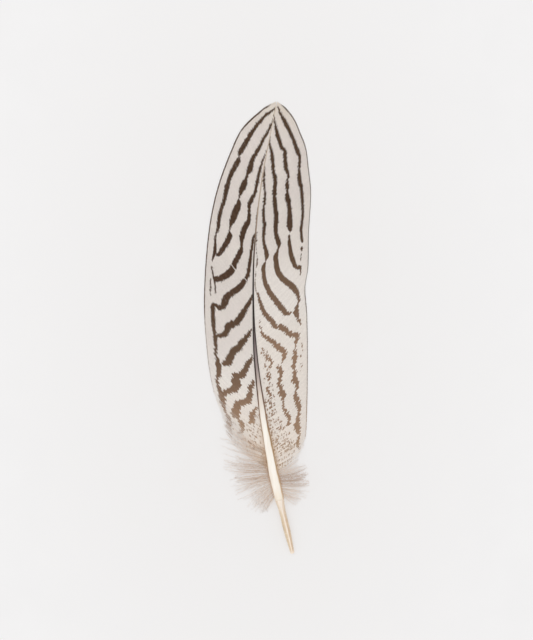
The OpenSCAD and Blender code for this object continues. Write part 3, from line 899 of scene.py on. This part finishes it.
def pith_material():
    """White foam of tiny cells."""
    n = Nodes("pith")
    cells = n.add("ShaderNodeTexVoronoi")
    cells.inputs["Scale"].default_value = 9000
    n.feed(cells.inputs["Vector"], n.add("ShaderNodeTexCoord").outputs["Object"])
    colour = n.mix(cells.outputs["Distance"], rgb(250, 247, 240), rgb(226, 219, 204))
    n.bump(cells.outputs["Distance"], 0.5, 0.03)
    return n.finish(colour, n.range(cells.outputs["Distance"], 0, 1, 0.7, 0.9), Sheen_Weight=0.1)


# Share of the floor's light that it gives off itself, a painted glow, as of a light table, that lifts the
# shade round the feather
FLOOR_GLOW = 0.5


def floor_material():
    """A pale matt floor with painted shade, a touch darker close to the feather, and a painted glow of its
    own.
    """
    n = Nodes("pale_floor")
    grain = n.noise(60, 3)
    place = n.add("ShaderNodeTexCoord").outputs["Object"]
    wide = n.add("ShaderNodeVectorMath", operation="MULTIPLY")
    n.feed(wide.inputs[0], place)
    wide.inputs[1].default_value = (1 / 0.075, 1 / 0.13, 0)
    away = n.add("ShaderNodeVectorMath", operation="LENGTH")
    n.feed(away.inputs[0], wide.outputs[0])
    # Painted shade: the floor's colour is darker close to the feather, as if in its soft shadow.
    colour = n.mix(n.range(away.outputs["Value"], 0.5, 1.5), rgb(238, 236, 235), rgb(243, 242, 242))
    colour = n.mix(n.range(grain, 0.3, 0.7, 0, 0.5), colour, rgb(240, 239, 239))
    # Painted glow: the floor gives off part of its own light, and its base colour is dimmed by the same
    # share.
    n.feed(n.shader.inputs["Emission Color"], colour)
    dimmed = n.mix(FLOOR_GLOW, colour, (0, 0, 0))
    return n.finish(
        dimmed, n.range(grain, 0.3, 0.7, 0.85, 0.95), Specular_IOR_Level=0.1, Emission_Strength=FLOOR_GLOW,
    )


# ---------------------------------------------------------------- studio
# Height of the picture in feather lengths, and how far its middle is from the feather's, in mm
PICTURE_HEIGHT = 1.4116
PICTURE_SHIFT = (3.6, 3.0)
LENS = 100
SENSOR = 36
# Lengths in metres, light in watts
FLOOR_HALF = 3.0
DOME_LIGHT = 0.82
LAMP_SIZE = 1.6
LAMP_POWER = 5.8
LAMP_PLACE = (-0.25, 0.3, 1.5)


def camera():
    """Straight above the feather, its tip at the top of the picture."""
    data = bpy.data.cameras.new("camera")
    data.lens = LENS
    data.sensor_width = SENSOR
    height = PICTURE_HEIGHT * feather_length * MM * LENS / SENSOR
    piece = bpy.data.objects.new("camera", data)
    middle = (cad_box[0] + cad_box[1]) / 2
    piece.location = (
        middle.x + PICTURE_SHIFT[0] * MM,
        middle.y + PICTURE_SHIFT[1] * MM,
        height + middle.z,
    )
    bpy.context.scene.collection.objects.link(piece)
    bpy.context.scene.camera = piece


def studio():
    """A pale floor under an even white dome, with one broad soft lamp overhead."""
    mesh = bpy.data.meshes.new("floor")
    s = FLOOR_HALF
    mesh.from_pydata([(-s, -s, 0), (s, -s, 0), (s, s, 0), (-s, s, 0)], [], [(0, 1, 2, 3)])
    mesh.materials.append(floor_material())
    floor = bpy.data.objects.new("floor", mesh)
    bpy.context.scene.collection.objects.link(floor)
    world = bpy.data.worlds.new("dome")
    world.use_nodes = True
    light = world.node_tree.nodes["Background"].inputs
    light["Color"].default_value = (1, 1, 1, 1)
    light["Strength"].default_value = DOME_LIGHT
    bpy.context.scene.world = world
    lamp = bpy.data.lights.new("softbox", "AREA")
    lamp.shape = "DISK"
    lamp.size = LAMP_SIZE
    lamp.energy = LAMP_POWER
    holder = bpy.data.objects.new("softbox", lamp)
    holder.location = LAMP_PLACE
    aim = -holder.location.normalized()
    holder.rotation_euler = aim.to_track_quat("-Z", "Y").to_euler()
    bpy.context.scene.collection.objects.link(holder)
    bpy.context.scene.view_settings.view_transform = "Standard"


# ---------------------------------------------------------------- build
camera()
studio()
vane_look = vane_material()
down_look = down_material()
for side in (-1, 1):
    for number in range(1, GROUPS + 1):
        barb_group(side, number, vane_look, down_look)
for side in (-1, 1):
    for number in range(1, DOWN_GROUPS[side] + 1):
        down_group(side, number, down_look)
rachis(shaft_material())
calamus(quill_material())
inside = {
    "pulp_caps": pulp_material(),
    "superior_umbilicus": pulp_material(),
    "rachis_pith": pith_material(),
}
for node, look in inside.items():
    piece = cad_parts[node]
    piece.data.materials.clear()
    piece.data.materials.append(look)
